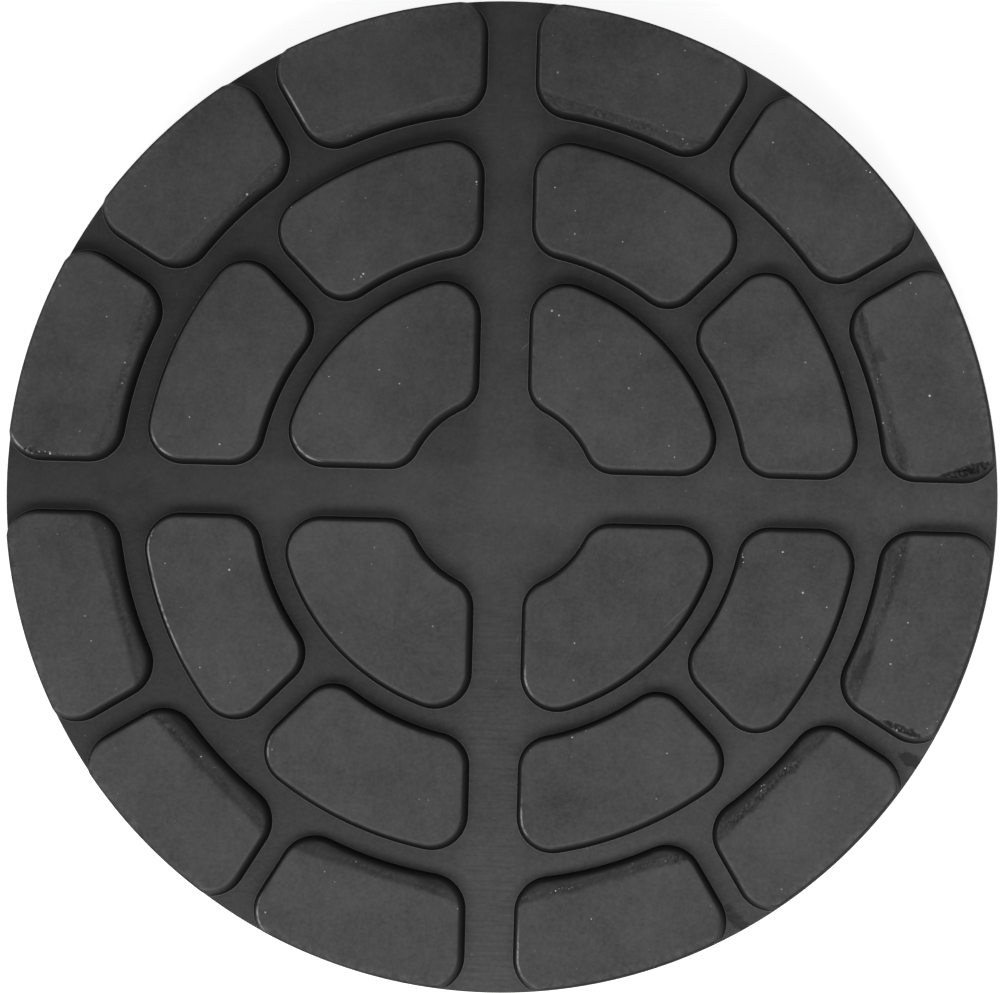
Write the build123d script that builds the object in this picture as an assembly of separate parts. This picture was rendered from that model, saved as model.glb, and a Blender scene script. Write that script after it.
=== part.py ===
from build123d import *
import math
import os

# Lift arm rubber pad, moulded in one piece.
# It slips over the round steel plate at the end of a vehicle lift's arm, tread side up, and the
# vehicle's sill rests on its tread blocks.
# All sizes are millimetres and degrees. The origin is the centre of the rim's underside, +Z points
# up through the tread, and the two straight grooves that cross on the pad run along X and Y.

# Disc
pad_diameter = 145.0
base_height = 20.0  # rim's underside to the floor of the grooves
rim_foot_chamfer = 1.0  # broken lower outer edge of the rim

# Recess in the underside, which fits the arm's plate
rim_wall = 7.5  # rubber between the recess and the pad's side
recess_depth = 10.0
recess_mouth_chamfer = 1.5  # leads the plate in

# Tread blocks
block_height = 5.0
block_draft_angle = 8.3  # lean of the block walls, so that the mould lets go
block_top_chamfer = 0.4  # softened upper edges of the blocks

# Rings of blocks, measured at their feet from the pad's side inwards. The inner blocks fill what
# is left between the inner ring groove and the clearing.
outer_block_length = 16.6
outer_ring_groove_width = 3.15
middle_block_length = 17.15
inner_ring_groove_width = 2.8
clearing_radius = 13.75  # plain round clearing in the middle

# Straight grooves, as wide as their floors
cross_groove_width = 7.1
split_groove_width = 3.15  # between the blocks of one ring
outer_split_angle = 31.3  # from the nearest arm of the cross

# The outer blocks slope off along the edge that faces the middle of the pad
slope_width = 2.2  # from the upper edge of the wall to the flat of the top
slope_drop = 0.45

# Corners of the blocks in plan
inner_block_near_corner = 4.5
inner_block_far_corner = 5.4
middle_block_near_corner = 4.9
middle_block_far_corner = 5.3
outer_block_near_corner = 5.3
outer_block_far_corner = 5.3
straight_between_corners = 1.0  # least straight length on a short side, whose corners shrink

pad_height = base_height + block_height
recess_radius = pad_diameter / 2 - rim_wall
draft_inset = block_height * math.tan(math.radians(block_draft_angle))

# Radii of the blocks' feet
outer_block_start = pad_diameter / 2 - outer_block_length
middle_block_reach = outer_block_start - outer_ring_groove_width
middle_block_start = middle_block_reach - middle_block_length
inner_block_reach = middle_block_start - inner_ring_groove_width

# A straight groove is its angle from +X and its width
x_groove = (0, cross_groove_width)
y_groove = (90, cross_groove_width)
middle_split = (45, split_groove_width)
first_outer_split = (outer_split_angle, split_groove_width)
second_outer_split = (90 - outer_split_angle, split_groove_width)


def polar_point(radius, angle):
    return Vector(radius * math.cos(math.radians(angle)), radius * math.sin(math.radians(angle)))


def beside_groove(radius, groove_angle, offset):
    """The point at a radius on a line parallel to a groove, offset to the groove's left."""
    return polar_point(radius, groove_angle + math.degrees(math.asin(offset / radius)))


def distance_from_middle(vertex):
    return Vector(vertex.X, vertex.Y).length


def block_foot(start_radius, end_radius, right_groove, left_groove, near_corner, far_corner):
    """The plan of one block's foot: two arcs about the pad's middle and two straight sides."""
    right_angle, right_width = right_groove
    left_angle, left_width = left_groove
    middle_angle = (right_angle + left_angle) / 2
    near_right = beside_groove(start_radius, right_angle, right_width / 2)
    far_right = beside_groove(end_radius, right_angle, right_width / 2)
    near_left = beside_groove(start_radius, left_angle, -left_width / 2)
    far_left = beside_groove(end_radius, left_angle, -left_width / 2)
    outline = make_face(
        [
            Line(near_right, far_right),
            ThreePointArc(far_right, polar_point(end_radius, middle_angle), far_left),
            Line(far_left, near_left),
            ThreePointArc(near_left, polar_point(start_radius, middle_angle), near_right),
        ]
    )
    room = ((far_right - near_right).length - straight_between_corners) / 2
    near_vertices = outline.vertices().sort_by(distance_from_middle)[:2]
    outline = fillet(near_vertices, min(near_corner, room))
    far_vertices = outline.vertices().sort_by(distance_from_middle)[-2:]
    return fillet(far_vertices, min(far_corner, room))


def raised_block(foot):
    """One block on the groove floor, with leaning walls and a softened upper edge."""
    floor = Plane.XY.offset(base_height)
    block = extrude(floor * foot, amount=block_height)
    walls = block.faces().filter_by(Plane.XY, reverse=True)
    block = draft(walls, floor, block_draft_angle)
    top = block.faces().sort_by(Axis.Z)[-1]
    return chamfer(top.edges(), block_top_chamfer)


def inner_block():
    corners = (inner_block_near_corner, inner_block_far_corner)
    return raised_block(
        block_foot(clearing_radius, inner_block_reach, x_groove, y_groove, *corners)
    )


def middle_blocks():
    """The two blocks of the middle ring that share a quadrant."""
    corners = (middle_block_near_corner, middle_block_far_corner)
    neighbours = [(x_groove, middle_split), (middle_split, y_groove)]
    return [
        raised_block(block_foot(middle_block_start, middle_block_reach, right, left, *corners))
        for right, left in neighbours
    ]


def space_above_slope():
    """The wedge-shaped ring that the sloped edge of the outer blocks leaves free."""
    flat_radius = outer_block_start + draft_inset + slope_width
    run = flat_radius - outer_block_start
    low_height = pad_height - slope_drop * run / slope_width
    section = make_face(
        Polyline(
            (flat_radius, pad_height),
            (outer_block_start, low_height),
            (outer_block_start, pad_height),
            close=True,
        )
    )
    return revolve(Plane.XZ * section, Axis.Z, 90)


def outer_blocks():
    """The three blocks of the outer ring that share a quadrant, flush with the disc's side."""
    corners = (outer_block_near_corner, outer_block_far_corner)
    neighbours = [
        (x_groove, first_outer_split),
        (first_outer_split, second_outer_split),
        (second_outer_split, y_groove),
    ]
    # The leaning outer walls run past the disc by the draft, and the disc's side cuts them upright.
    reach = pad_diameter / 2 + draft_inset
    inside_disc = Cylinder(
        pad_diameter / 2, pad_height, align=(Align.CENTER, Align.CENTER, Align.MIN)
    )
    blocks = []
    for right, left in neighbours:
        block = raised_block(block_foot(outer_block_start, reach, right, left, *corners))
        blocks.append((block - space_above_slope()) & inside_disc)
    return blocks


def section_corner(section, x, z):
    return section.vertices().sort_by_distance((x, z))[0]


def disc():
    """The turned body under the tread: its side, its rim and the recess for the arm's plate."""
    side = pad_diameter / 2
    outline = Polyline(
        (0, recess_depth),
        (recess_radius, recess_depth),
        (recess_radius, 0),
        (side, 0),
        (side, base_height),
        (0, base_height),
        close=True,
    )
    section = make_face(outline)
    section = chamfer(section_corner(section, side, 0), rim_foot_chamfer)
    section = chamfer(section_corner(section, recess_radius, 0), recess_mouth_chamfer)
    return revolve(Plane.XZ * section, Axis.Z)


def rubber_pad():
    """The disc with four like quadrants of tread blocks on it."""
    quadrant = [inner_block(), *middle_blocks(), *outer_blocks()]
    tread = [Rot(0, 0, 90 * turn) * block for turn in range(4) for block in quadrant]
    return disc() + tread


os.makedirs("parts", exist_ok=True)
pad = rubber_pad()
export_step(pad, "parts/rubber_pad.step")
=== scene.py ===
# %% [markdown]
# # Lift arm rubber pad
#
# The object is one moulded piece of black rubber, a round pad that slips over the steel plate at
# the end of a vehicle lift's arm. A tread of rounded blocks stands on its upper face, and a plain
# round recess in its underside takes the plate.
#
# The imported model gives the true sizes, and its edges are plain bevels. This lesson moulds the same
# pad again with rounded edges, small webs at the feet of the blocks and the wear of use, and then
# gives it a rubber finish, a pale table and soft light.

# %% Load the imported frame
import math

import bpy
from mathutils import Matrix, Vector, noise


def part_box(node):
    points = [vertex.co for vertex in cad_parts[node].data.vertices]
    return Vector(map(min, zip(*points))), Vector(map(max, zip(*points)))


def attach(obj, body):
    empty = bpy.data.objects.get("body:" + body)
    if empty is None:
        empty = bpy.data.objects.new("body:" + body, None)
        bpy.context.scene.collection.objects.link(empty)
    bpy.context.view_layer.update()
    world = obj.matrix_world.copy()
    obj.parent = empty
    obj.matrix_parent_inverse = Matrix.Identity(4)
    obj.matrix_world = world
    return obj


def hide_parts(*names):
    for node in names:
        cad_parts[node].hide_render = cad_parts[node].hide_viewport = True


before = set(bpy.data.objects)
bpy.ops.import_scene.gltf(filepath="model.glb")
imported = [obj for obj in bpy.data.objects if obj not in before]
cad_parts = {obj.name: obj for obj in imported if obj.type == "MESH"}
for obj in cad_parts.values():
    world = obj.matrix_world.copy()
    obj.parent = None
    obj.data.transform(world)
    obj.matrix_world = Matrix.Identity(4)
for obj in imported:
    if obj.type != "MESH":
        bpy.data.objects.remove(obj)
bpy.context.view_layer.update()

pad_low, pad_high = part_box("rubber_pad")
print("packed pad, lowest and highest corner:", tuple(pad_low), tuple(pad_high))

# %% [markdown]
# ## Sizes
#
# The pad's own box gives its radius and its height. The other sizes are those of the tread, in
# metres, named after what they measure. Each ring of blocks is measured at its foot, from the side
# of the pad inwards, because the mould was cut that way.

# %% Sizes of the tread
MM = 0.001
pad_radius = (pad_high.x - pad_low.x) / 2
pad_top = pad_high.z
block_height = 5.0 * MM
groove_floor = pad_top - block_height
draft_angle = math.radians(8.3)
draft_inset = block_height * math.tan(draft_angle)

outer_block_start = pad_radius - 16.6 * MM
middle_block_reach = outer_block_start - 3.15 * MM
middle_block_start = middle_block_reach - 17.15 * MM
inner_block_reach = middle_block_start - 2.8 * MM
clearing_radius = 13.75 * MM

cross_groove_width = 7.1 * MM
split_groove_width = 3.15 * MM
outer_split_angle = math.radians(31.3)
quarter_turn = math.radians(90)
full_turn = 4 * quarter_turn

# A straight groove is its angle from +X and its width.
x_groove = (0.0, cross_groove_width)
y_groove = (quarter_turn, cross_groove_width)
middle_split = (quarter_turn / 2, split_groove_width)
first_outer_split = (outer_split_angle, split_groove_width)
second_outer_split = (quarter_turn - outer_split_angle, split_groove_width)
print("radii of the rings, in millimetres:",
      [round(r / MM, 2) for r in (clearing_radius, inner_block_reach, middle_block_start,
                                  middle_block_reach, outer_block_start, pad_radius)])

# %% [markdown]
# ## The plan of a block
#
# A block's foot is bounded by two arcs about the middle of the pad and by two straight sides that
# run beside its grooves, and its four corners are rounded. It could be drawn as a sector and
# bevelled at its corners, but a bevel stops at the first point of a finely divided arc. The centre
# of each corner is easy to work out instead: it lies one corner radius from the groove's side, and
# one corner radius inside or outside the ring.

# %% Points along the plan of a block
POINT_SPACING = 0.75 * MM


def polar(radius, angle):
    return Vector((radius * math.cos(angle), radius * math.sin(angle), 0.0))


def corner_centre(ring_radius, corner_radius, groove, side, outward):
    """The centre of a rounded corner. side is 1 left of the groove and -1 right of it."""
    groove_angle, groove_width = groove
    distance = ring_radius + outward * corner_radius
    off_groove = groove_width / 2 + corner_radius
    return polar(distance, groove_angle + side * math.asin(off_groove / distance))


def arc_points(centre, radius, start_angle, turn):
    """Points along an arc, without its last one."""
    count = max(2, round(abs(turn) * radius / POINT_SPACING))
    return [centre + polar(radius, start_angle + turn * i / count) for i in range(count)]


def line_points(start, end):
    """Points along a line, without its last one."""
    count = max(1, round((end - start).length / POINT_SPACING))
    return [start.lerp(end, i / count) for i in range(count)]


def block_plan(start_radius, end_radius, right_groove, left_groove, near_corner, far_corner):
    """Points round the foot of a block, anticlockwise seen from above."""
    right_angle, left_angle = right_groove[0], left_groove[0]
    far_right = corner_centre(end_radius, far_corner, right_groove, 1, -1)
    far_left = corner_centre(end_radius, far_corner, left_groove, -1, -1)
    near_right = corner_centre(start_radius, near_corner, right_groove, 1, 1)
    near_left = corner_centre(start_radius, near_corner, left_groove, -1, 1)
    angle = {name: math.atan2(c.y, c.x) for name, c in
             (("fr", far_right), ("fl", far_left), ("nr", near_right), ("nl", near_left))}
    right_normal = right_angle - quarter_turn
    left_normal = left_angle + quarter_turn
    middle = Vector((0.0, 0.0, 0.0))
    points = line_points(near_right + polar(near_corner, right_normal),
                         far_right + polar(far_corner, right_normal))
    points += arc_points(far_right, far_corner, right_normal, angle["fr"] - right_normal)
    points += arc_points(middle, end_radius, angle["fr"], angle["fl"] - angle["fr"])
    points += arc_points(far_left, far_corner, angle["fl"], left_normal - angle["fl"])
    points += line_points(far_left + polar(far_corner, left_normal),
                          near_left + polar(near_corner, left_normal))
    inwards = math.radians(180)
    points += arc_points(near_left, near_corner, left_normal,
                         angle["nl"] + inwards - left_normal)
    points += arc_points(middle, start_radius, angle["nl"], angle["nr"] - angle["nl"])
    points += arc_points(near_right, near_corner, angle["nr"] + inwards,
                         right_normal + 2 * inwards - (angle["nr"] + inwards))
    return points


print("points round an inner block:",
      len(block_plan(clearing_radius, inner_block_reach, x_groove, y_groove,
                     4.5 * MM, 5.4 * MM)))

# %% [markdown]
# ## One block
#
# The mould forms a block with a crisp foot, a leaning wall and a rounded upper edge. They are one
# section that runs round the whole block, so the plan is inset again and again, each time by the
# next step of that section. An even inset keeps every corner a true arc.
#
# A tiny web at the foot stands for the cutter's own rounding in the mould. Its plan is the plan of
# the foot moved out by the web's radius, and it starts below the groove floor, so that the block
# and the disc can be joined afterwards.

# %% Section of a block, as steps inwards and upwards
WEB_RADIUS = 0.12 * MM
EDGE_RADIUS = 0.52 * MM
SINK = 1.0 * MM
LEAD_IN = 0.01 * MM
WEB_STEPS = 2
WALL_STEPS = 2
EDGE_STEPS = 5
TOP_INSETS = [0.25 * MM, 0.35 * MM, 0.45 * MM, 0.5 * MM, 0.6 * MM, 0.7 * MM]


def section_points():
    """Points of the section as (inwards from the web's plan, height above the groove floor)."""
    wall_turn = quarter_turn - draft_angle
    web_start = math.radians(18)
    points = []
    for i in range(WEB_STEPS + 1):
        a = web_start + (wall_turn - web_start) * i / WEB_STEPS
        points.append((WEB_RADIUS * math.sin(a), WEB_RADIUS * (1 - math.cos(a))))
    tangent_length = EDGE_RADIUS * math.tan(wall_turn / 2)
    wall_foot = points[-1]
    edge_low_height = block_height - tangent_length * math.cos(draft_angle)
    run = edge_low_height - wall_foot[1]
    for i in range(1, WALL_STEPS + 1):
        up = run * i / WALL_STEPS
        points.append((wall_foot[0] + up * math.tan(draft_angle), wall_foot[1] + up))
    flat_start = points[-1][0] + tangent_length * (1 + math.sin(draft_angle))
    for i in range(1, EDGE_STEPS + 1):
        a = wall_turn * (1 - i / EDGE_STEPS)
        points.append((flat_start - EDGE_RADIUS * math.sin(a),
                       block_height - EDGE_RADIUS * (1 - math.cos(a))))
    for inset in TOP_INSETS:
        points.append((points[-1][0] + inset, block_height))
    return points


block_section = section_points()
print("section of a block, in millimetres:",
      [(round(x / MM, 2), round(z / MM, 2)) for x, z in block_section])

# %% Helpers for working in edit mode


def deselect_all():
    bpy.ops.object.select_all(action="DESELECT")


def make_active(piece):
    deselect_all()
    piece.select_set(True)
    bpy.context.view_layer.objects.active = piece


def start_edit(piece, mode="FACE"):
    make_active(piece)
    bpy.ops.object.mode_set(mode="EDIT")
    bpy.ops.mesh.select_mode(type=mode)
    bpy.ops.mesh.select_all(action="DESELECT")


def end_edit():
    bpy.ops.object.mode_set(mode="OBJECT")


def select_where(piece, kind, test):
    """Selects the faces, edges or vertices for which test is true, from object mode."""
    mesh = piece.data
    for group in (mesh.vertices, mesh.edges, mesh.polygons):
        group.foreach_set("select", [False] * len(group))
    chosen = [item for item in getattr(mesh, kind) if test(item)]
    for item in chosen:
        item.select = True
    return len(chosen)


def copy_of(piece, name):
    twin = piece.copy()
    twin.data = piece.data.copy()
    twin.name = name
    bpy.context.collection.objects.link(twin)
    return twin


def join(pieces, name):
    deselect_all()
    for piece in pieces:
        piece.select_set(True)
    bpy.context.view_layer.objects.active = pieces[0]
    bpy.ops.object.join()
    pieces[0].name = name
    return pieces[0]


def open_edges(piece):
    """How many edges don't lie between exactly two faces."""
    uses = {}
    for face in piece.data.polygons:
        for key in face.edge_keys:
            uses[key] = uses.get(key, 0) + 1
    loose = len(piece.data.edges) - len(uses)
    return loose + sum(1 for n in uses.values() if n != 2)


def apply_boolean(piece, other, operation):
    modifier = piece.modifiers.new("cut", "BOOLEAN")
    modifier.operation = operation
    modifier.solver = "MANIFOLD"
    modifier.object = other
    make_active(piece)
    bpy.ops.object.modifier_apply(modifier=modifier.name)
    bpy.data.objects.remove(other)


# %% Mould one block


def mould_block(name, start_radius, end_radius, right_groove, left_groove, corners):
    """One block, standing a little below the groove floor, closed underneath."""
    near_corner, far_corner = corners
    plan = block_plan(
        start_radius - WEB_RADIUS, end_radius + WEB_RADIUS,
        (right_groove[0], right_groove[1] - 2 * WEB_RADIUS),
        (left_groove[0], left_groove[1] - 2 * WEB_RADIUS),
        near_corner + WEB_RADIUS, far_corner + WEB_RADIUS)
    deselect_all()
    bpy.ops.mesh.primitive_circle_add(vertices=len(plan), radius=end_radius, fill_type="NGON",
                                      location=(0, 0, 0))
    block = bpy.context.active_object
    block.name = name
    for vertex, point in zip(block.data.vertices, plan):
        vertex.co = point + Vector((0, 0, groove_floor - SINK))
    start_edit(block)
    bpy.ops.mesh.select_all(action="SELECT")
    bpy.ops.mesh.normals_make_consistent(inside=False)
    end_edit()
    if block.data.polygons[0].normal.z < 0:
        block.data.flip_normals()
    start_edit(block)
    bpy.ops.mesh.select_all(action="SELECT")
    web_foot = block_section[0][1] - LEAD_IN
    bpy.ops.mesh.extrude_region_move(TRANSFORM_OT_translate={"value": (0, 0, SINK + web_foot)})
    reached = (0.0, web_foot)
    for inward, height in block_section:
        bpy.ops.mesh.inset(thickness=inward - reached[0], depth=height - reached[1],
                           use_boundary=True, use_even_offset=True)
        reached = (inward, height)
    end_edit()
    return block


inner_corners = (4.5 * MM, 5.4 * MM)
middle_corners = (4.9 * MM, 5.3 * MM)
outer_corners = (5.3 * MM, 5.3 * MM)
outer_reach = pad_radius + draft_inset

quadrant = [
    mould_block("inner_block", clearing_radius, inner_block_reach, x_groove, y_groove,
                inner_corners),
    mould_block("middle_block_right", middle_block_start, middle_block_reach, x_groove,
                middle_split, middle_corners),
    mould_block("middle_block_left", middle_block_start, middle_block_reach, middle_split,
                y_groove, middle_corners),
    mould_block("outer_block_right", outer_block_start, outer_reach, x_groove,
                first_outer_split, outer_corners),
    mould_block("outer_block_middle", outer_block_start, outer_reach, first_outer_split,
                second_outer_split, outer_corners),
    mould_block("outer_block_left", outer_block_start, outer_reach, second_outer_split,
                y_groove, outer_corners),
]
print("faces of the blocks of one quadrant:", [len(b.data.polygons) for b in quadrant])
print("height of a block's top:", max(v.co.z for v in quadrant[0].data.vertices))

# %% [markdown]
# ## The quadrant, four times
#
# The tread is the same in its four quadrants, so the six blocks are moulded once and copied. Each
# copy gets a mesh of its own, because every block of the outer ring is worn in another way.

# %% Turn the quadrant round the pad


def turned_copy(block, quarter):
    twin = copy_of(block, block.name + "_" + str(quarter))
    make_active(twin)
    bpy.ops.transform.rotate(value=-quarter * quarter_turn, orient_axis="Z",
                             center_override=(0, 0, 0))
    bpy.ops.object.transform_apply(location=True, rotation=True, scale=True)
    return twin


blocks = list(quadrant)
for quarter in (1, 2, 3):
    blocks += [turned_copy(block, quarter) for block in quadrant]


def block_angle(block):
    """Degrees from +X to the middle of a block, anticlockwise."""
    middle = sum((v.co for v in block.data.vertices), Vector()) / len(block.data.vertices)
    return math.degrees(math.atan2(middle.y, middle.x)) % 360


outer_blocks = sorted((b for b in blocks if b.name.startswith("outer")), key=block_angle)
print("blocks on the tread:", len(blocks))
print("middles of the outer blocks, in degrees:", [round(block_angle(b), 1) for b in outer_blocks])

# %% [markdown]
# ## Worn edges of the outer blocks
#
# On the real pad the edge of each outer block that faces the middle slopes off, and it is scuffed
# where the sill has rubbed it. Along some borders of the slope the rubber has rolled up into a
# small ragged ridge. A sculpting brush would do this by hand. Here the strip along the edge is
# subdivided, so that there is something to push, and its points sink by a slope that starts at a
# nearly straight border, with a coarse and a fine noise on it. Each block has its own width, drop,
# roughness and ridge, so no two edges wear alike.

# %% Sink the inner edges of the outer blocks
# Width of the slope, its drop, the depth of its roughness and the height of its ridge, in
# millimetres, from the block at the right hand of +X round the pad.
edge_wear = [
    (1.9, 0.50, 0.08, 0.05), (1.3, 0.30, 0.07, 0.02), (1.7, 0.45, 0.12, 0.08),
    (1.3, 0.30, 0.04, 0.01), (1.6, 0.40, 0.10, 0.04), (1.8, 0.45, 0.10, 0.04),
    (1.8, 0.55, 0.07, 0.03), (2.3, 0.70, 0.10, 0.06), (1.6, 0.50, 0.06, 0.03),
    (1.7, 0.55, 0.10, 0.14), (1.9, 0.60, 0.11, 0.14), (2.3, 0.60, 0.10, 0.06),
]
slope_start = outer_block_start + draft_inset
BORDER_WAVER = 0.30 * MM
STEP_WIDTH = 1.5 * MM
EDGE_ROUNDING = 0.35 * MM
RIDGE_AT = 0.95 * MM
RIDGE_WIDTH = 0.20 * MM


def subdivide_where(piece, test, cuts):
    count = select_where(piece, "polygons", test)
    make_active(piece)
    bpy.ops.object.mode_set(mode="EDIT")
    bpy.ops.mesh.select_mode(type="FACE")
    bpy.ops.mesh.subdivide(number_cuts=cuts, quadcorner="INNERVERT")
    end_edit()
    return count


def eased(value):
    value = min(1.0, max(0.0, value))
    return value * value * (3 - 2 * value)


def sink_edge(block, width, drop, roughness, ridge):
    """Slopes and roughens a block's inner edge, fading out down the wall. Millimetres."""
    border = slope_start + width * MM
    outwards = polar(1.0, math.radians(block_angle(block)))
    for vertex in block.data.vertices:
        distance = vertex.co.dot(outwards)
        near_top = eased((vertex.co.z - (pad_top - 2.4 * MM)) / (2.0 * MM))
        if distance > border + 1.0 * MM or near_top == 0:
            continue
        inside = border + BORDER_WAVER * noise.noise(vertex.co * 260) - distance
        coarse = noise.noise(vertex.co * 900 + Vector((3, 0, 0)))
        fine = noise.noise(vertex.co * 2300 + Vector((0, 7, 0)))
        step = eased((inside + 0.3 * MM) / STEP_WIDTH)
        sunk = drop * MM * (0.5 * step + 0.5 * min(1.5, max(0.0, inside) / (width * MM)))
        sunk += EDGE_ROUNDING * eased((inside - (width - 0.5) * MM) / (1.2 * MM))
        sunk += roughness * MM * max(-0.2, coarse + 0.6 * fine) * eased(inside / (1.1 * MM))
        bead = math.exp(-((inside - RIDGE_AT) / RIDGE_WIDTH) ** 2)
        sunk -= ridge * MM * bead * max(0.0, 0.6 + coarse)
        vertex.co.z = min(pad_top, vertex.co.z - sunk * near_top)


strip_faces = 0
for block, (width, drop, roughness, ridge) in zip(outer_blocks, edge_wear):
    limit = slope_start + (width + 0.4) * MM
    outwards = polar(1.0, math.radians(block_angle(block)))
    strip_faces += subdivide_where(
        block, lambda f: (f.center.z > pad_top - 0.6 * MM and len(f.vertices) < 6
                          and f.center.dot(outwards) < limit), 2)
    sink_edge(block, width, drop, roughness, ridge)
print("faces along the worn edges before they were divided:", strip_faces)

# %% [markdown]
# ## Torn and chipped places
#
# Above the right arm of the cross a wedge of rubber has torn off the outer block's edge, and a few
# smaller nicks sit on other edges. Each is a rough hollow: the faces round it are subdivided, and
# the points inside it are pushed down by a depth that fades to nothing at its border.

# %% Tear and nick the edges
# Middle of each hollow in plan, its half length and half width, the turn of its length from +X in
# degrees, its depth and how much it widens along its length. Lengths in millimetres.
hollows = [
    ("tear", (68.0, 4.75), (4.3, 1.1), 8, 0.70, 0.55),
    ("nick_left", (-67.4, 4.5), (2.9, 0.32), -6, 0.30, 0.0),
    ("nick_left_spot", (-68.7, 4.8), (0.9, 0.5), 0, 0.35, 0.0),
    ("nick_upper_left", (-37.7, 42.3), (1.9, 0.35), 42, 0.25, 0.0),
    ("nick_upper_right", (57.9, 37.9), (2.2, 0.45), 31, 0.35, 0.0),
    ("nick_lower_right", (59.3, -32.4), (3.0, 0.45), -21, 0.35, 0.0),
    ("nick_middle_right", (35.2, -8.9), (0.8, 0.35), 80, 0.20, 0.0),
]


def hollow_share(point, middle, halves, turn, widening):
    """1 in the middle of the hollow, 0 on its border and outside."""
    offset = Matrix.Rotation(-math.radians(turn), 2) @ Vector(
        (point.x - middle[0] * MM, point.y - middle[1] * MM))
    along_it = offset.x / (halves[0] * MM)
    width = halves[1] * MM * max(0.15, 1 + widening * along_it)
    reach = math.hypot(along_it, offset.y / width)
    reach += 0.35 * noise.noise(point * 1500)
    return eased((1.25 - reach) * 1.6)


def nearest_block(middle):
    def gap(block):
        return min((Vector((v.co.x, v.co.y)) - Vector(middle) * MM).length
                   for v in block.data.vertices)
    return min(blocks, key=gap)


for name, middle, halves, turn, depth, widening in hollows:
    block = nearest_block(middle)
    spread = (max(halves) + 0.5) * MM
    subdivide_where(
        block, lambda f: (f.center.z > pad_top - 1.2 * MM and len(f.vertices) < 6
                          and abs(f.center.x - middle[0] * MM) < spread
                          and abs(f.center.y - middle[1] * MM) < spread
                          and hollow_share(f.center, middle, (halves[0] + 0.3, halves[1] + 0.3),
                                           turn, widening) > 0), 2)
    moved = 0
    for vertex in block.data.vertices:
        if vertex.co.z < pad_top - 1.8 * MM:
            continue
        share = hollow_share(vertex.co, middle, halves, turn, widening)
        if share > 0:
            rough = 0.75 + 0.9 * noise.noise(vertex.co * 1900)
            vertex.co.z -= depth * MM * share * rough
            moved += 1
    print(name, "on", block.name, "moved", moved, "points")

# %% [markdown]
# ## The disc under the tread
#
# The disc is turned: its section is spun about the pad's axis. The blocks are joined to a wider
# blank whose top is the groove floor, and the spun body then keeps only what lies inside it. In
# this way one cut trims the blocks along the pad's side, where they lean in a little and have a
# rounded upper edge, and forms the recess and the rounded rim at the same time.

# %% Spin the outer form
ROUND_STEPS = 6
TURN_STEPS = 256
recess_radius = pad_radius - 7.5 * MM
recess_depth = 10.0 * MM
SIDE_LEAN = 0.28 * MM
SIDE_EDGE_RADIUS = 0.4 * MM


def rounded(corner, before, after, radius):
    """Points of an arc that rounds the corner of a section."""
    corner, before, after = Vector(corner), Vector(before), Vector(after)
    first, second = (before - corner).normalized(), (after - corner).normalized()
    half = first.angle(second) / 2
    reach = radius / math.tan(half)
    centre = corner + (first + second).normalized() * (radius / math.sin(half))
    start = (corner + first * reach - centre).normalized()
    end = (corner + second * reach - centre).normalized()
    return [centre + start.slerp(end, i / ROUND_STEPS) * radius for i in range(ROUND_STEPS + 1)]


def section(corners):
    """Section points from (radius, height, rounding) corners, first and last left as they are."""
    points = []
    for i, (radius, height, rounding) in enumerate(corners):
        if rounding == 0:
            points.append(Vector((radius, height)))
        else:
            points += rounded((radius, height), corners[i - 1][:2], corners[i + 1][:2], rounding)
    return points


# Over the block tops the section runs a little above them, so that only their outer edge is cut.
cut_reach = pad_radius - 2.6 * MM
outer_form_section = section([
    (0.0, recess_depth, 0),
    (recess_radius, recess_depth, 0.8 * MM),
    (recess_radius, 1.5 * MM, 0.7 * MM),
    (recess_radius + 1.5 * MM, 0.0, 0.7 * MM),
    (pad_radius, 0.0, 1.3 * MM),
    (pad_radius, groove_floor - 0.25 * MM, 0),
    (pad_radius - 0.06 * MM, groove_floor - 0.12 * MM, 0),
    (pad_radius - SIDE_LEAN, pad_top, SIDE_EDGE_RADIUS),
    (cut_reach, pad_top + 0.10 * MM, 0),
    (cut_reach, pad_top + 4 * MM, 0),
    (0.0, pad_top + 4 * MM, 0),
])


def spun(name, points):
    """A solid of revolution from an open section whose ends lie on the axis."""
    deselect_all()
    bpy.ops.mesh.primitive_circle_add(vertices=len(points), radius=pad_radius,
                                      fill_type="NOTHING", location=(0, 0, 0))
    piece = bpy.context.active_object
    piece.name = name
    for vertex, point in zip(piece.data.vertices, points):
        vertex.co = (point.x, 0.0, point.y)
    last = len(points) - 1
    select_where(piece, "edges", lambda e: set(e.vertices) == {0, last})
    make_active(piece)
    bpy.ops.object.mode_set(mode="EDIT")
    bpy.ops.mesh.select_mode(type="EDGE")
    bpy.ops.mesh.delete(type="EDGE")
    bpy.ops.mesh.select_all(action="SELECT")
    bpy.ops.mesh.spin(steps=TURN_STEPS, angle=full_turn, center=(0, 0, 0), axis=(0, 0, 1))
    bpy.ops.mesh.select_all(action="SELECT")
    bpy.ops.mesh.remove_doubles(threshold=0.01 * MM)
    bpy.ops.mesh.normals_make_consistent(inside=False)
    end_edit()
    return piece


outer_form = spun("outer_form", outer_form_section)
print("outer form:", len(outer_form.data.polygons), "faces, open edges", open_edges(outer_form))

# %% Join the blocks to a blank and trim it
SMOOTH_ANGLE = math.radians(28)
deselect_all()
blank_low = -5.0 * MM
bpy.ops.mesh.primitive_cylinder_add(
    vertices=128, radius=pad_radius + 8 * MM, depth=groove_floor - blank_low,
    location=(0, 0, (groove_floor + blank_low) / 2))
blank = bpy.context.active_object
make_active(blank)
bpy.ops.object.transform_apply(location=True, rotation=True, scale=True)

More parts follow.
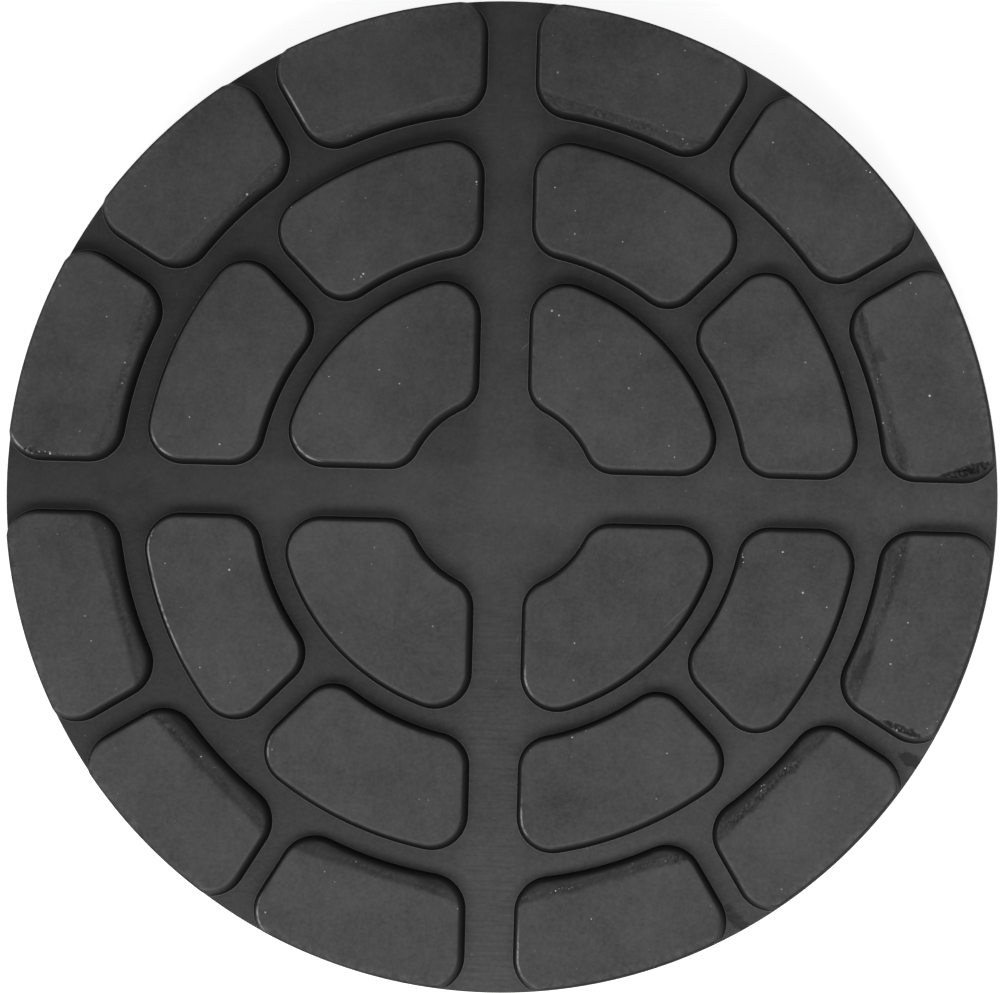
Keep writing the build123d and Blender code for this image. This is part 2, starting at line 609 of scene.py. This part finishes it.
tread = join(blocks, "tread_blocks")
start_edit(tread)
bpy.ops.mesh.select_all(action="SELECT")
bpy.ops.mesh.normals_make_consistent(inside=False)
end_edit()
print("blocks:", len(tread.data.polygons), "faces, open edges", open_edges(tread))
apply_boolean(blank, tread, "UNION")
print("blank with its blocks:", len(blank.data.polygons), "faces, open edges", open_edges(blank))
apply_boolean(blank, outer_form, "INTERSECT")
pad = blank
pad.name = "moulded_pad"
print("trimmed pad:", len(pad.data.polygons), "faces, open edges", open_edges(pad))

# %% Clean the mesh and shade it
start_edit(pad)
bpy.ops.mesh.select_all(action="SELECT")
bpy.ops.mesh.remove_doubles(threshold=0.0005 * MM)
bpy.ops.mesh.normals_make_consistent(inside=False)
end_edit()
print("open edges after cleaning:", open_edges(pad))
make_active(pad)
bpy.ops.object.shade_smooth_by_angle(angle=SMOOTH_ANGLE)
# The groove floor is one plane. Shaded flat, it takes no slant from the feet of the blocks.
floor_faces = select_where(
    pad, "polygons", lambda f: f.normal.z > 0.9999 and abs(f.center.z - groove_floor) < 0.02 * MM)
make_active(pad)
bpy.ops.object.mode_set(mode="EDIT")
bpy.ops.mesh.select_mode(type="FACE")
bpy.ops.mesh.faces_shade_flat()
end_edit()
print("flat faces of the groove floor:", floor_faces)
pad.data.calc_loop_triangles()
print("triangles:", len(pad.data.loop_triangles))
low = [min(v.co[i] for v in pad.data.vertices) for i in range(3)]
high = [max(v.co[i] for v in pad.data.vertices) for i in range(3)]
print("pad's box, in millimetres:", [round(x / MM, 3) for x in low + high])

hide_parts("rubber_pad")
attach(pad, "root")

# %% [markdown]
# ## Rubber
#
# Moulded rubber is nearly black and slightly waxy. In use, a grey film of dust and wear stays on
# every face that looks up, while the leaning walls of the blocks keep their black. One plain colour
# would lose that. Here the colour is built up in layers, each driven by the place on the pad or by
# the way a face looks: first the grey film with its clouds and a painted falloff of light across
# the pad, then the scuffs, smudges, scratches and specks with painted highlights on some edges,
# and last the black of the walls with painted shade towards their feet. The same clouds also drive
# the roughness.

# %% A small kit for wiring the nodes of a material


class Wiring:
    """Adds nodes to one material, a node and its links at a time."""

    def __init__(self, name):
        self.material = bpy.data.materials.new(name)
        self.material.use_nodes = True
        self.tree = self.material.node_tree
        self.shader = self.tree.nodes["Principled BSDF"]
        self.place = self.tree.nodes.new("ShaderNodeTexCoord").outputs["Object"]
        self.slanted = self.place

    def set_input(self, socket, value):
        if hasattr(value, "is_output"):
            self.tree.links.new(value, socket)
        else:
            socket.default_value = value

    def math(self, operation, *values):
        node = self.tree.nodes.new("ShaderNodeMath")
        node.operation = operation
        for socket, value in zip(node.inputs, values):
            self.set_input(socket, value)
        return node.outputs[0]

    def vector_math(self, operation, *values):
        node = self.tree.nodes.new("ShaderNodeVectorMath")
        node.operation = operation
        for socket, value in zip(node.inputs, values):
            self.set_input(socket, value)
        gives_number = operation in ("LENGTH", "DISTANCE", "DOT_PRODUCT")
        return node.outputs["Value" if gives_number else "Vector"]

    def ramp(self, value, low, high, low_out=0.0, high_out=1.0):
        """Rises smoothly from low_out to high_out while value goes from low to high."""
        node = self.tree.nodes.new("ShaderNodeMapRange")
        node.interpolation_type = "SMOOTHSTEP"
        for name, number in (("Value", value), ("From Min", low), ("From Max", high),
                             ("To Min", low_out), ("To Max", high_out)):
            self.set_input(node.inputs[name], number)
        return node.outputs["Result"]

    def noise(self, scale, detail, roughness, vector=None):
        """Flat noise on the slanted plane, or on the plane of another vector."""
        node = self.tree.nodes.new("ShaderNodeTexNoise")
        node.noise_dimensions = "2D"
        self.set_input(node.inputs["Vector"], vector or self.slanted)
        node.inputs["Scale"].default_value = scale
        node.inputs["Detail"].default_value = detail
        node.inputs["Roughness"].default_value = roughness
        return node.outputs["Fac"]

    def parts(self, vector):
        node = self.tree.nodes.new("ShaderNodeSeparateXYZ")
        self.set_input(node.inputs[0], vector)
        return node.outputs

    def together(self, x, y, z):
        node = self.tree.nodes.new("ShaderNodeCombineXYZ")
        for socket, value in zip(node.inputs, (x, y, z)):
            self.set_input(socket, value)
        return node.outputs[0]


rubber = Wiring("moulded_rubber")
place_x, place_y, place_z = rubber.parts(rubber.place)
facing = rubber.tree.nodes.new("ShaderNodeNewGeometry").outputs["Normal"]
faces_up = rubber.parts(facing)[2]
plan_distance = rubber.vector_math("LENGTH", rubber.together(place_x, place_y, 0.0))
# A flat noise would draw straight streaks down the walls, so its plane leans with the height.
rubber.slanted = rubber.together(
    rubber.math("MULTIPLY_ADD", place_z, 0.6, place_x),
    rubber.math("MULTIPLY_ADD", place_z, 0.8, place_y), 0.0)
print("rubber material started")

# %% Black walls and the grey film on faces that look up
# The film is painted lighter towards the lower right of the pad and darker towards the upper
# left, a painted falloff of light across the pad. Broad clouds, small clouds and two fine grains
# mottle it.
looks_up = rubber.ramp(faces_up, 0.30, 0.95)
on_blocks = rubber.ramp(place_z, groove_floor + 2 * MM, groove_floor + 4 * MM)
on_floor = rubber.math("SUBTRACT", 1.0, on_blocks)
clouds = rubber.noise(55, 3, 0.80)
broad_clouds = rubber.noise(15, 1, 0.5)
coarse_grain = rubber.noise(900, 2, 0.65)
fine_grain = rubber.noise(1700, 2, 0.8)


def swing_of(pattern):
    return rubber.math("SUBTRACT", pattern, 0.5)


def scaled(value, amount):
    return rubber.math("MULTIPLY", value, amount)


def times(first, *others):
    for other in others:
        first = rubber.math("MULTIPLY", first, other)
    return first


def total(first, *others):
    for other in others:
        first = rubber.math("ADD", first, other)
    return first


def without(share):
    """1 where share is 0, and less as it grows."""
    return rubber.math("SUBTRACT", 1.0, share)


def blend(share, first, second):
    """first where share is 0, second where it is 1."""
    return total(times(without(share), first), times(share, second))


def towards(x_share, y_share):
    """How far a place lies towards one side of the pad."""
    return total(scaled(place_x, x_share), scaled(place_y, y_share))


grains = total(scaled(swing_of(coarse_grain), 0.45), scaled(swing_of(fine_grain), 0.65))


def varied(painted_light_falloff, low, high, cloud_amount, broad_amount):
    """A tone that grows with a painted falloff of light and is mottled by clouds and grains."""
    tone = total(low, scaled(painted_light_falloff, high - low))
    swing = total(scaled(swing_of(clouds), cloud_amount),
                  scaled(swing_of(broad_clouds), broad_amount), grains)
    return times(tone, total(1.0, swing))


# Both tones are painted lighter towards the lower right: painted light.
top_tone = varied(rubber.ramp(towards(0.4, -1.0), -75 * MM, 20 * MM), 0.0355, 0.0465, 1.4, 0.6)
floor_tone = varied(rubber.ramp(towards(0.75, -0.6), -75 * MM, 75 * MM), 0.0165, 0.047, 1.1, 0.5)
# The open middle of the floor and the arms of the cross are painted a little lighter than the narrow
# grooves: painted light, where more of it reaches an open floor.
painted_light_middle = rubber.ramp(plan_distance, 10 * MM, 34 * MM, 0.004, 0.0)
off_the_cross = rubber.math("MINIMUM", rubber.math("ABSOLUTE", place_x),
                            rubber.math("ABSOLUTE", place_y))
painted_light_cross = rubber.ramp(off_the_cross, 3.2 * MM, 5.5 * MM, 0.0065, 0.0)
floor_tone = total(floor_tone, painted_light_middle, painted_light_cross)
up_tone = blend(on_blocks, floor_tone, top_tone)
print("tones of the film set")

# %% [markdown]
# ### Scuffed band of the outer blocks
#
# The slope along an outer block's inner edge is dirty, and it is scuffed to pale and dark grains
# where it meets the flat top. Both follow the straight border of the slope, so the distance along
# the block's own direction drives them, with some noise to make the border waver. That direction,
# the slope's width and the strengths go by the block: the angle round the pad picks one of twelve
# steps from a colour ramp.

# %% Scuffs and dirt along the ring
turn_share = rubber.math("FRACT", rubber.math("DIVIDE", rubber.math(
    "ARCTAN2", place_y, place_x), full_turn))
block_borders = [0.0, outer_split_angle, quarter_turn - outer_split_angle]
step_starts = [(q * quarter_turn + b) / full_turn for q in range(4) for b in block_borders]


def by_block(triples):
    """Three numbers for each outer block, from the block at the right hand of +X round the pad."""
    node = rubber.tree.nodes.new("ShaderNodeValToRGB")
    node.color_ramp.interpolation = "CONSTANT"
    elements = node.color_ramp.elements
    elements[0].position = 0.0
    elements[1].position = step_starts[1]
    for start in step_starts[2:]:
        elements.new(start)
    for element, triple in zip(elements, triples):
        element.color = (*triple, 1.0)
    rubber.set_input(node.inputs[0], turn_share)
    return rubber.parts(node.outputs[0])


# The middles of a quadrant's outer blocks, in degrees from +X, as printed when they were copied.
outer_middles = (16.6, 45.0, 73.4)
directions = [polar(1.0, math.radians(90 * q + middle)) for q in range(4)
              for middle in outer_middles]
halved_x, halved_y, slope_width = by_block(
    [((d.x + 1) / 2, (d.y + 1) / 2, wear[0] / 10) for d, wear in zip(directions, edge_wear)])
dirt_strength, scuff_strength, darker_by_wall_strength = by_block([
    (0.75, 0.5, 0.3), (0.15, 0.3, 0.1), (0.50, 0.8, 0.3), (0.15, 0.2, 0.1), (0.25, 0.35, 0.2),
    (0.30, 0.5, 0.2), (0.35, 0.3, 0.4), (0.45, 0.5, 0.7), (0.25, 0.3, 0.5), (0.50, 1.0, 0.3),
    (0.50, 1.0, 0.5), (0.65, 0.7, 0.1)])
along_block = total(times(place_x, rubber.math("MULTIPLY_ADD", halved_x, 2.0, -1.0)),
                    times(place_y, rubber.math("MULTIPLY_ADD", halved_y, 2.0, -1.0)))
waver = scaled(swing_of(rubber.noise(260, 2, 0.6)), 1.3 * MM)
into_slope = rubber.math("SUBTRACT", total(slope_start, scaled(slope_width, 10 * MM)),
                         total(along_block, waver))
on_outer_ring = times(on_blocks, rubber.ramp(
    plan_distance, middle_block_reach, outer_block_start))
on_slope = times(rubber.ramp(into_slope, -0.4 * MM, 0.7 * MM), on_outer_ring)
patches = rubber.ramp(coarse_grain, 0.38, 0.62)
comes_and_goes = rubber.ramp(rubber.noise(120, 1, 0.5), 0.36, 0.62, 0.15, 1.0)
crease = rubber.ramp(into_slope, 0.7 * MM, 1.5 * MM, 1.0, 0.35)
dirt = times(on_slope, crease, dirt_strength, total(0.30, scaled(patches, 0.35),
                                                    scaled(comes_and_goes, 0.35)))
# The top is also darkened in a band along the block's inner wall, by a strength that goes by the
# block.
near_wall = times(rubber.ramp(along_block, slope_start, slope_start + 2.4 * MM, 1.0, 0.0),
                  on_outer_ring)
darker_by_wall = times(near_wall, darker_by_wall_strength, total(0.45, scaled(comes_and_goes, 0.55)))
near_crease = times(rubber.ramp(into_slope, -0.6 * MM, 0.3 * MM),
                    rubber.ramp(into_slope, 0.6 * MM, 1.3 * MM, 1.0, 0.0), on_outer_ring)
near_ridge = times(rubber.ramp(into_slope, 0.3 * MM, RIDGE_AT),
                   rubber.ramp(into_slope, RIDGE_AT, RIDGE_AT + 0.6 * MM, 1.0, 0.0), on_outer_ring)
pale_grain = rubber.ramp(fine_grain, 0.46, 0.66)
dark_grain = rubber.ramp(fine_grain, 0.36, 0.52, 1.0, 0.0)
pale_scuff = times(near_ridge, scuff_strength, pale_grain, comes_and_goes)
dark_scuff = times(near_crease, scuff_strength, dark_grain, comes_and_goes)
worn_tone = times(up_tone, without(dirt), without(darker_by_wall),
                  without(scaled(dark_scuff, 0.4)))
worn_tone = total(worn_tone, scaled(pale_scuff, 0.040))
print("borders of the slopes, in millimetres:",
      [round(slope_start / MM + wear[0], 1) for wear in edge_wear])

# %% [markdown]
# ### Single marks
#
# Torn rubber is dull and black, and a few smudges, scuffed spots and clusters of dust lie where
# they happened to. Each mark is a soft round or long patch at its own place, frayed by noise. Many
# patches lie along a few common directions, so the turned coordinates are worked out once for each.

# %% Marks at their places
fray = scaled(swing_of(coarse_grain), 1.3)
turned_places = {0: rubber.place}


def turned_place(turn):
    """Places along axes turned by some degrees, worked out once for each turn."""
    if turn not in turned_places:
        node = rubber.tree.nodes.new("ShaderNodeMapping")
        rubber.set_input(node.inputs["Vector"], rubber.place)
        node.inputs["Rotation"].default_value = (0.0, 0.0, -math.radians(turn))
        turned_places[turn] = node.outputs[0]
    return turned_places[turn]


def reach_of(middle, halves, turn, widening=0.0):
    """0 in a mark's middle and 1 on its border."""
    quarters, turn = divmod(turn, 90)
    if quarters % 2:
        halves = (halves[1], halves[0])
    across = Matrix.Rotation(-math.radians(turn), 2) @ Vector(middle)
    offset = rubber.vector_math(
        "MULTIPLY_ADD", turned_place(turn), (1 / (halves[0] * MM), 1 / (halves[1] * MM), 0.0),
        (-across.x / halves[0], -across.y / halves[1], 0.0))
    if widening:
        lengthwise, crosswise, _ = rubber.parts(offset)
        width = rubber.math("MAXIMUM", 0.15, total(1.0, scaled(lengthwise, widening)))
        offset = rubber.together(lengthwise, rubber.math("DIVIDE", crosswise, width), 0.0)
    return rubber.vector_math("LENGTH", offset)


def nearest(reaches):
    result = reaches[0]
    for reach in reaches[1:]:
        result = rubber.math("MINIMUM", result, reach)
    return result


def marks(strength, *places):
    """strength inside frayed ovals on the pad, 0 outside. A place is a middle, half sizes, turn."""
    reach = nearest([reach_of(*place) for place in places])
    return rubber.ramp(total(reach, fray), 0.75, 1.25, strength, 0.0)


def soft_patches(strength, *places):
    """strength in the middle of broad ovals, fading evenly to 0."""
    return rubber.ramp(nearest([reach_of(*place) for place in places]), 0.3, 1.6, strength, 0.0)


torn_places = [(middle, (halves[0] + 0.1, halves[1] + 0.08), turn, widening)
               for name, middle, halves, turn, depth, widening in hollows]
torn = times(on_blocks, rubber.math(
    "MAXIMUM", marks(1.0, torn_places[0]), marks(0.75, *torn_places[1:])))
smudged = rubber.math(
    "MAXIMUM",
    marks(0.4, ((54.6, 21.6), (1.3, 1.0), 0), ((53.3, -23.6), (3.2, 0.7), 60),
          ((-9.0, 10.6), (1.2, 0.45), 45)),
    marks(0.7, ((60.7, -36.9), (1.9, 0.9), -30), ((36.0, -60.8), (2.4, 0.9), -45)))
dusty_spots = marks(
    0.8, ((38.9, -41.7), (0.9, 0.7), 45), ((-45.0, 28.0), (2.4, 0.8), 60),
    ((59.4, -33.2), (3.0, 0.5), -30),
    ((-65.0, 4.6), (3.4, 0.5), 0), ((53.0, 47.9), (1.4, 0.5), -45),
    ((35.4, -8.4), (0.5, 1.3), 0), ((10.5, -57.3), (1.6, 0.7), 15))
scratches = marks(
    1.0, ((3.0, 22.0), (0.9, 0.09), 45), ((3.0, -20.8), (0.7, 0.08), 75),
    ((26.3, -16.8), (2.4, 0.05), 45))
paler = soft_patches(
    0.13, ((41.7, 19.5), (7.0, 5.0), 75), ((18.7, 62.5), (8.0, 5.0), 0),
    ((-45.0, 46.0), (8.0, 5.0), 45), ((61.0, -19.0), (7.0, 5.0), -75),
    ((18.0, -61.5), (7.0, 5.0), 0), ((-18.0, -61.5), (7.0, 5.0), 0),
    ((0.0, 34.0), (3.0, 18.0), 0), ((-38.2, 38.2), (10.0, 1.6), 45))
lit_groove = soft_patches(0.25, ((15.4, -52.1), (9.0, 1.8), 15))
darker = soft_patches(
    0.10, ((-17.5, 61.5), (8.0, 5.0), 0), ((-15.0, 17.0), (7.0, 7.0), 0),
    ((-18.0, -16.0), (7.0, 7.0), 0), ((-38.0, -38.5), (22.0, 1.8), -45))
marked_tone = times(worn_tone, without(smudged), total(1.0, paler, lit_groove), without(darker))
marked_tone = total(marked_tone, scaled(scratches, 0.05))
torn_tone = total(0.004, scaled(rubber.ramp(coarse_grain, 0.54, 0.70), 0.024))
marked_tone = blend(torn, marked_tone, torn_tone)
print("marks placed")

# %% [markdown]
# ### Dust specks
#
# Pale specks of dust and grit lie on the rubber, a few large ones and many fine ones, and more of
# them where the rubber is scuffed. A Voronoi pattern gives one point to every cell, and a random
# colour of the cell says whether there is a speck on it at all.

# %% Specks


def specks(cell_size, radius, share):
    """Dots of a radius, one for some share of the cells. Sizes in metres."""
    node = rubber.tree.nodes.new("ShaderNodeTexVoronoi")
    node.voronoi_dimensions = "2D"
    rubber.set_input(node.inputs["Vector"], rubber.place)
    node.inputs["Scale"].default_value = 1 / cell_size
    chance, size, shade = rubber.parts(node.outputs["Color"])
    chosen = rubber.math("LESS_THAN", chance, share)
    reach = scaled(total(0.3, size, scaled(fray, 1.2)), radius / cell_size)
    dot = rubber.math("LESS_THAN", node.outputs["Distance"], reach)
    return times(dot, chosen, total(0.15, times(shade, shade)))


in_patches = rubber.ramp(clouds, 0.52, 0.68)
fine_share = total(0.002, scaled(in_patches, 0.012), scaled(near_ridge, 0.04),
                   scaled(dusty_spots, 0.6))
large_specks = specks(2.3 * MM, 0.11 * MM, 0.028)
fine_specks = specks(0.5 * MM, 0.11 * MM, fine_share)
speck_shade = total(scaled(large_specks, 0.38),
                    times(fine_specks, total(0.28, scaled(dusty_spots, 0.5))))
speck_shade = times(speck_shade, looks_up, blend(on_blocks, 0.3, 1.0))
print("specks scattered")

# %% [markdown]
# ### Rounded edges, cutter lines and the finished colour
#
# The rounded upper edges are rubbed clean and a little shiny. Those that face the lower left of
# the pad are painted pale in places, a painted highlight that stands for glints of light, and the
# rim of the tops is painted lighter in speckled patches, partly pale wear and partly a painted
# highlight. A groove floor carries fine lines that the cutter left in the mould, almost too weak
# to see, so they are a slight change of tone. The walls between the blocks are the blackest rubber,
# with painted shade that darkens them towards their feet, and a thin painted highlight lies on the
# floor along their feet. The pad's side and its underside are handled more, so they are a little
# greyer.

# %% Put the colour together
rounded_edge = times(rubber.ramp(faces_up, 0.90, 0.965),
                     rubber.ramp(faces_up, 0.985, 0.9985, 1.0, 0.0), on_blocks)
# Rounded edges that face the lower left are painted pale in places: a painted highlight that stands
# for glints of light on them.
glint_side = Vector((-0.88, -0.47, 0.0))
faces_glint_side = rubber.vector_math("DOT_PRODUCT", facing, glint_side)
glint_places = soft_patches(
    0.8, ((-30.0, 56.5), (3.6, 2.4), -60), ((-49.5, 6.3), (1.6, 2.2), 0),
    ((-28.5, 5.8), (2.4, 2.4), 0), ((-50.7, -8.5), (1.4, 5.0), 0),
    ((-48.4, -17.5), (1.5, 8.0), 15), ((-33.9, -37.0), (1.8, 2.6), 0),
    ((4.3, -47.2), (1.8, 2.4), 0), ((4.0, -27.5), (1.6, 2.4), 0), ((4.3, -67.2), (1.6, 3.2), 0),
    ((-34.5, -62.0), (2.4, 2.6), 0), ((-70.5, 5.2), (1.6, 2.2), 0),
    ((-68.0, -31.5), (1.6, 1.6), 0))
painted_glint = times(rubber.ramp(faces_glint_side, 0.22, 0.42), rubber.ramp(faces_up, 0.40, 0.60),
               total(0.10, glint_places), rubber.ramp(coarse_grain, 0.30, 0.58, 0.25, 1.0),
               on_blocks)
cutter_lines = rubber.noise(1.0, 1, 0.5, vector=rubber.together(
    scaled(place_x, 110.0), scaled(place_y, 2300.0), 0.0))
lined_part = times(rubber.ramp(rubber.math("ABSOLUTE", place_x), 3.2 * MM, 4.2 * MM, 1.0, 0.0),
                   rubber.ramp(place_y, -24 * MM, -12 * MM, 1.0, 0.25), on_floor)
lined_tone = times(marked_tone, total(1.0, scaled(times(swing_of(cutter_lines), lined_part), 0.6)))
# The rim of the block tops is lighter in speckled patches: partly pale wear, partly a painted
# highlight.
rim_wear_and_sheen = times(rubber.ramp(plan_distance, pad_radius - 2.0 * MM, pad_radius - 0.8 * MM),
                   on_blocks, patches)
lined_tone = times(lined_tone, total(1.0, scaled(rim_wear_and_sheen, 0.30)))
# A thin pale line on the floor along the feet of the walls: a painted highlight.
painted_foot_highlight = times(rubber.ramp(faces_up, 0.45, 0.65), rubber.ramp(faces_up, 0.985, 0.999, 1.0, 0.0),
                  on_floor)
# The walls between the blocks get the blackest tone, and painted shade darkens them further towards
# their feet.
up_the_wall = rubber.ramp(place_z, groove_floor, pad_top)
inner_wall_tone_and_shade = total(0.0012, scaled(times(up_the_wall, up_the_wall), 0.026))
under_tread = rubber.ramp(place_z, groove_floor - 1.5 * MM, groove_floor - 0.5 * MM, 1.0, 0.0)
side_tone = times(blend(under_tread, 0.014, 0.032), total(1.0, scaled(swing_of(clouds), 0.8)))
on_side = rubber.math("MAXIMUM", under_tread, rubber.ramp(
    plan_distance, pad_radius - 0.66 * MM, pad_radius - 0.50 * MM))
wall_tone = blend(on_side, inner_wall_tone_and_shade, side_tone)
tone = blend(times(looks_up, without(scaled(times(on_side, on_blocks), 0.75))),
             wall_tone, lined_tone)
# The specks, the painted glints and the painted highlight at the feet of the walls are added last.
tone = total(tone, speck_shade, scaled(painted_glint, 0.24), scaled(painted_foot_highlight, 0.06))
rubber.set_input(rubber.shader.inputs["Base Color"], rubber.together(tone, tone, tone))

# %% Finish of the rubber
roughness = total(blend(on_blocks, 0.46, 0.60), scaled(swing_of(clouds), 0.6))
roughness = rubber.math("SUBTRACT", roughness, scaled(rounded_edge, 0.16))
roughness = total(roughness, scaled(rubber.math("MAXIMUM", torn, on_slope), 0.20))
roughness = blend(looks_up, 0.85, roughness)
rubber.set_input(rubber.shader.inputs["Roughness"], roughness)
rubber.shader.inputs["Specular IOR Level"].default_value = 0.15

height = rubber.noise(900, 1, 0.85)
bump = rubber.tree.nodes.new("ShaderNodeBump")
bump.inputs["Strength"].default_value = 0.6
bump.inputs["Distance"].default_value = 0.05 * MM
rubber.set_input(bump.inputs["Height"], height)
rubber.set_input(rubber.shader.inputs["Normal"], bump.outputs["Normal"])

pad.data.materials.clear()
pad.data.materials.append(rubber.material)
print("nodes in the rubber:", len(rubber.tree.nodes))

# %% [markdown]
# ## Table, light and camera
#
# The pad lies on a pale table and is seen from straight above, from a little towards its lower
# right. The light is one wide soft lamp that leans in from the near side, so that the walls facing
# away from it keep a shadow at their feet, and an even light from all round.

# %% Table and surroundings
deselect_all()
bpy.ops.mesh.primitive_plane_add(size=3.0, location=(0, 0, pad_low.z - 0.02 * MM))
table = bpy.context.active_object
table.name = "pale_table"


def seen_directly(tree):
    """1 for what the camera, a reflection or clear material sees, 0 for the light that falls."""
    path = tree.nodes.new("ShaderNodeLightPath")
    value = path.outputs["Is Camera Ray"]
    for name in ("Is Glossy Ray", "Is Transmission Ray"):
        node = tree.nodes.new("ShaderNodeMath")
        node.operation = "MAXIMUM"
        tree.links.new(value, node.inputs[0])
        tree.links.new(path.outputs[name], node.inputs[1])
        value = node.outputs[0]
    return value


TABLE_LIFT = 0.66
table_material = bpy.data.materials.new("table_white")
table_material.use_nodes = True
table_tree = table_material.node_tree
table_shader = table_tree.nodes["Principled BSDF"]
table_shader.inputs["Base Color"].default_value = (0.8, 0.8, 0.8, 1)
table_shader.inputs["Roughness"].default_value = 0.9
table_shader.inputs["Specular IOR Level"].default_value = 0.1
table_shader.inputs["Emission Color"].default_value = (1, 1, 1, 1)
lift = table_tree.nodes.new("ShaderNodeMath")
lift.operation = "MULTIPLY"
lift.inputs[1].default_value = TABLE_LIFT
table_tree.links.new(seen_directly(table_tree), lift.inputs[0])
table_tree.links.new(lift.outputs[0], table_shader.inputs["Emission Strength"])
table.data.materials.append(table_material)

ALL_ROUND_LIGHT = 0.54
world = bpy.data.worlds.new("studio")
bpy.context.scene.world = world
world.use_nodes = True
world_tree = world.node_tree
background = world_tree.nodes["Background"]
background.inputs["Color"].default_value = (1, 1, 1, 1)
strength = world_tree.nodes.new("ShaderNodeMapRange")
strength.inputs["To Min"].default_value = ALL_ROUND_LIGHT
strength.inputs["To Max"].default_value = 1.0
world_tree.links.new(seen_directly(world_tree), strength.inputs["Value"])
world_tree.links.new(strength.outputs[0], background.inputs["Strength"])

# %% Camera
photo_turn = math.radians(1.5)
image_up = Vector((-math.sin(photo_turn), math.cos(photo_turn), 0))
image_right = Vector((math.cos(photo_turn), math.sin(photo_turn), 0))
CAMERA_DISTANCE = 1.2
CAMERA_TILT = math.radians(2.75)
SENSOR_WIDTH = 36
PHOTO_WIDTH = 1000
METRES_PER_PIXEL = 0.14554 * MM


def above(distance, tilt, rightwards, upwards):
    """A place above the pad, leaning towards a direction given in the image."""
    sideways = (image_right * rightwards + image_up * upwards).normalized()
    return Vector((0, 0, pad_top)) + distance * (
        sideways * math.sin(tilt) + Vector((0, 0, math.cos(tilt))))


def look_from(item, position, target, up):
    back = (position - target).normalized()
    right = up.cross(back).normalized()
    true_up = back.cross(right)
    item.matrix_world = Matrix.Translation(position) @ Matrix(
        (right, true_up, back)).transposed().to_4x4()


camera_data = bpy.data.cameras.new("photo_camera")
camera_data.sensor_width = SENSOR_WIDTH
camera_data.lens = SENSOR_WIDTH * CAMERA_DISTANCE / (PHOTO_WIDTH * METRES_PER_PIXEL)
camera_data.clip_end = 20
camera = bpy.data.objects.new("photo_camera", camera_data)
bpy.context.collection.objects.link(camera)
aim = Vector((0, 0, pad_top)) + image_right * 0.10 * MM - image_up * 0.15 * MM
look_from(camera, above(CAMERA_DISTANCE, CAMERA_TILT, 2.4, -1.35), aim, image_up)
bpy.context.scene.camera = camera
print("lens:", round(camera_data.lens, 1))

# %% Soft lamp
LAMP_DISTANCE = 0.62
LAMP_WIDTH = 0.56
LAMP_DEPTH = 0.16
LAMP_LEAN = math.radians(24.5)
KEY_LIGHT = 0.68
lamp_data = bpy.data.lights.new("soft_lamp", "AREA")
lamp_data.shape = "ELLIPSE"
lamp_data.size = LAMP_WIDTH
lamp_data.size_y = LAMP_DEPTH
lamp_data.energy = KEY_LIGHT * math.pi ** 2 * LAMP_DISTANCE ** 2
lamp = bpy.data.objects.new("soft_lamp", lamp_data)
bpy.context.collection.objects.link(lamp)
look_from(lamp, above(LAMP_DISTANCE, LAMP_LEAN, -0.15, -1),
          Vector((0, 0, pad_top)), image_up)
lamp.visible_camera = False

bpy.context.scene.view_settings.view_transform = "Standard"
